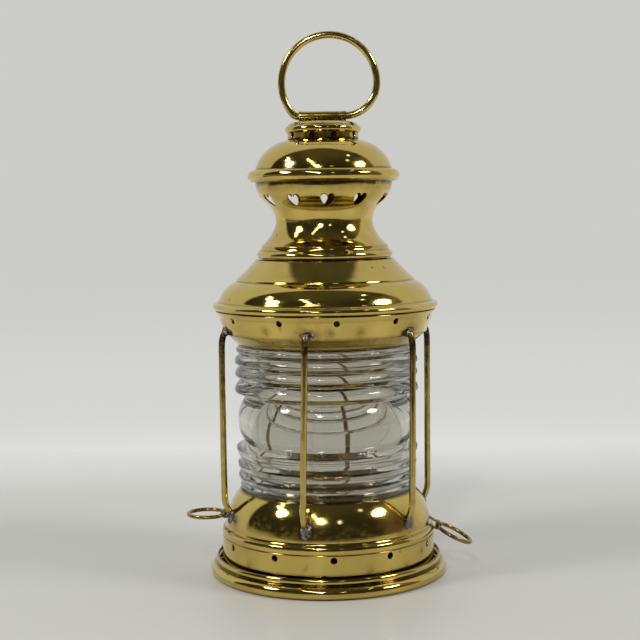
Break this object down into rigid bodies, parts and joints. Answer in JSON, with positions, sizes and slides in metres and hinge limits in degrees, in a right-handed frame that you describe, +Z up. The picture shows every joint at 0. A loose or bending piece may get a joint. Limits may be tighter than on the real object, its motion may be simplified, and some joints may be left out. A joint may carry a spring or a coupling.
{
  "type": "lantern",
  "caption": "Small brass oil lantern: ribbed clear globe inside upright guard wires, heart-pierced chimney, domed cap with ring bail, lift-off tray with burner and side lashing rings.",
  "frame": {"origin": "centre of the round foot, on the surface the lantern stands on", "axes": "+Z up the lantern's axis to the bail, +X towards the drooping lashing ring, -Y the front face"},
  "size_m": [0.1477, 0.122, 0.2764],
  "materials": {
    "brass_shell": "polished and lacquered, small brown spots",
    "brass_wire": "drawn wire, polished, darker towards the soldered ends",
    "brass_tarnished": "brown tarnish over drawn wire",
    "brass_dull": "dull, unpolished",
    "clear_glass": "pressed clear glass, faint grey-green",
    "solder": "dull grey tin-lead solder",
    "cotton": "woven cotton, matt"
  },
  "bodies": {
    "tray": {"tray_pan": "brass_shell", "tray_collar": "brass_dull", "fount_body": "brass_dull", "fount_neck": "brass_dull", "burner_body": "brass_dull", "wick_tube": "brass_dull", "burner_cone": "brass_dull"},
    "housing": {"base_shell": "brass_shell", "lens_seat_lower": "brass_dull", "lens_seat_upper": "brass_shell", "fresnel_lens": "clear_glass", "skirt_ring": "brass_shell", "roof_shell": "brass_shell", "chimney": "brass_shell", "cap_dome": "brass_shell", "crown_collar": "brass_shell", "bail_sleeve": "brass_wire", "sleeve_solder": "solder", "guard_solder_lower": "solder", "guard_solder_upper": "solder", "lash_strap_left": "brass_tarnished", "lash_strap_right": "brass_tarnished", "guard_wire_1": "brass_wire", "guard_wire_2": "brass_wire", "guard_wire_3": "brass_wire", "guard_wire_4": "brass_wire", "guard_wire_5": "brass_wire", "guard_wire_6": "brass_wire"},
    "bail": {"bail_ring": "brass_wire"},
    "left_ring": {"lash_ring_left": "brass_tarnished"},
    "right_ring": {"lash_ring_right": "brass_tarnished"},
    "spindle": {"raiser_spindle": "brass_dull", "sprockets": "brass_dull", "raiser_knob": "brass_dull"},
    "wick_body": {"wick": "cotton"}
  },
  "joints": [
    {"name": "housing_lift", "type": "slide", "parent": "tray", "child": "housing", "axis": [0, 0, 1], "range_m": [0, 0.065]},
    {"name": "bail_swing", "type": "hinge", "parent": "housing", "child": "bail", "pos_m": [0, 0, 0.2339], "axis": [1, 0, 0], "range_deg": [-95, 95]},
    {"name": "left_ring_swing", "type": "hinge", "parent": "housing", "child": "left_ring", "pos_m": [-0.0535, 0, 0.0299], "axis": [0, 1, 0], "range_deg": [-65, 95]},
    {"name": "right_ring_swing", "type": "hinge", "parent": "housing", "child": "right_ring", "pos_m": [0.05629, -0.00492, 0.0236], "axis": [-0.0872, -0.9962, 0], "range_deg": [-36, 137]},
    {"name": "wick_raise", "type": "slide", "parent": "tray", "child": "wick_body", "axis": [0, 0, 1], "range_m": [-0.0098, 0.0039]},
    {"name": "spindle_turn", "type": "hinge", "parent": "tray", "child": "spindle", "pos_m": [0, -0.0044, 0.038], "axis": [1, 0, 0], "continuous": true}
  ],
  "couplings": [
    {"joint": "spindle_turn", "follows": "wick_raise", "rad_per_m": 322.58}
  ]
}
